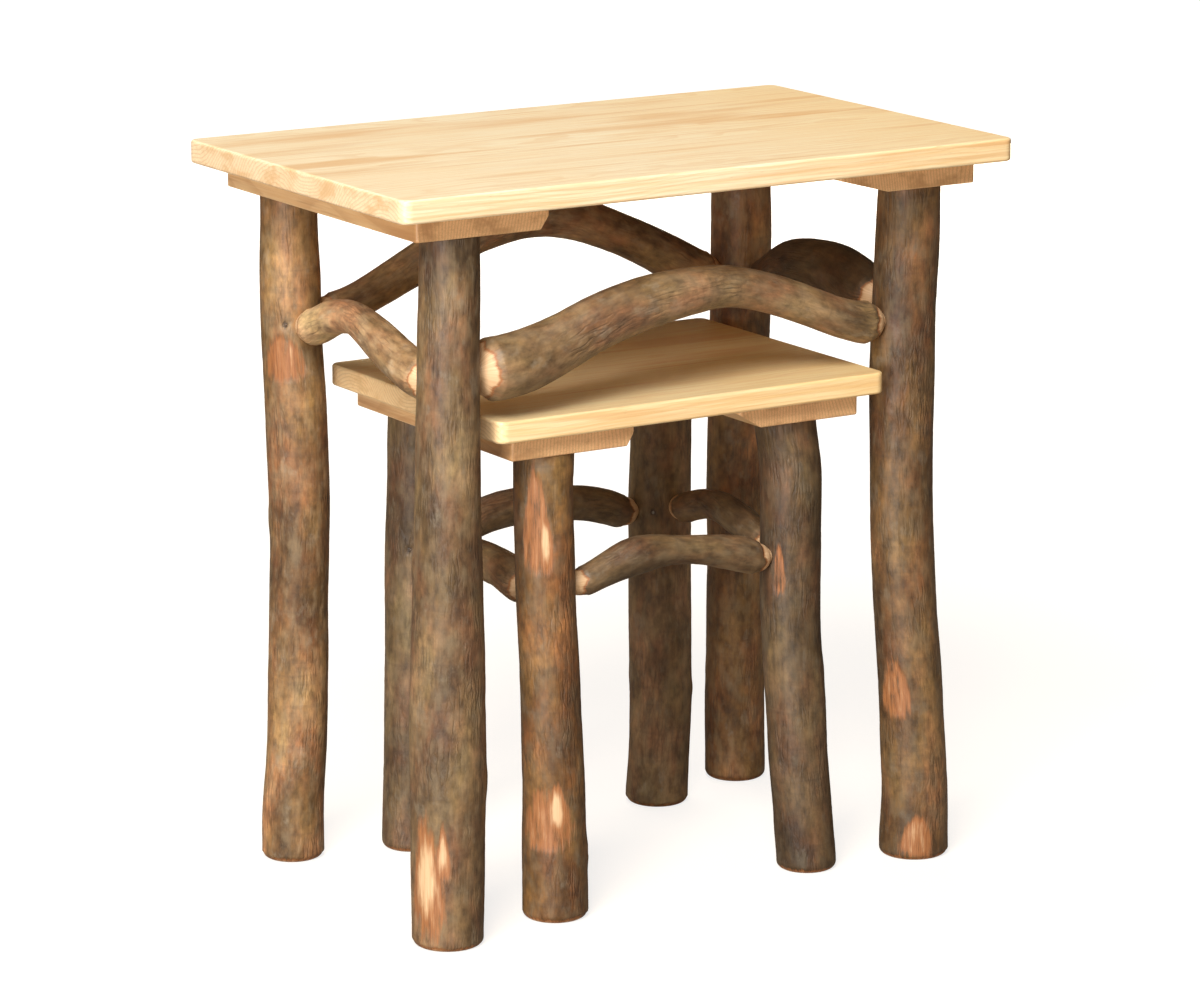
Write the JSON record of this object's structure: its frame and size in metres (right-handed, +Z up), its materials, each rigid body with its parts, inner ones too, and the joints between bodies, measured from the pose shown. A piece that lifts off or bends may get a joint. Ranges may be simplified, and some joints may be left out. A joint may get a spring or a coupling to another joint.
{
  "type": "nesting rustic log tables",
  "caption": "Nest of two rustic hickory log tables with plank tops; the small one slides out from under the large one.",
  "frame": {"origin": "on the floor, under the middle of the large top", "axes": "+X to the right along the long side, the front faces -Y, +Z up"},
  "size_m": [0.576, 0.354, 0.61],
  "materials": {
    "top_boards": "clear satin lacquer on pale planed boards",
    "cleats": "clear satin lacquer on tan planed boards",
    "bark_on_legs": "hickory poles with their bark, clear coated",
    "bark_on_stretchers": "bent hickory saplings with their bark and peeled pale ends, clear coated",
    "steel_fasteners": "plain zinc"
  },
  "bodies": {
    "large_table": {"large_top_board_front": "top_boards", "large_top_board_mid_front": "top_boards", "large_top_board_mid_back": "top_boards", "large_top_board_back": "top_boards", "large_cleat_left": "cleats", "large_cleat_right": "cleats", "large_leg_front_left": "bark_on_legs", "large_leg_front_right": "bark_on_legs", "large_leg_back_left": "bark_on_legs", "large_leg_back_right": "bark_on_legs", "large_stretcher_front": "bark_on_stretchers", "large_stretcher_back": "bark_on_stretchers", "large_stretcher_left": "bark_on_stretchers", "large_stretcher_right": "bark_on_stretchers", "large_cleat_screws": "steel_fasteners", "large_tenon_nails": "steel_fasteners"},
    "small_table": {"small_top_board_front": "top_boards", "small_top_board_middle": "top_boards", "small_top_board_back": "top_boards", "small_cleat_left": "cleats", "small_cleat_right": "cleats", "small_leg_front_left": "bark_on_legs", "small_leg_front_right": "bark_on_legs", "small_leg_back_left": "bark_on_legs", "small_leg_back_right": "bark_on_legs", "small_stretcher_front": "bark_on_stretchers", "small_stretcher_back": "bark_on_stretchers", "small_stretcher_left": "bark_on_stretchers", "small_stretcher_right": "bark_on_stretchers", "small_cleat_screws": "steel_fasteners", "small_tenon_nails": "steel_fasteners"}
  },
  "joints": [
    {"name": "small_table_pull", "type": "slide", "parent": "large_table", "child": "small_table", "axis": [0, -1, 0], "range_m": [-0.32, 0.32]}
  ]
}
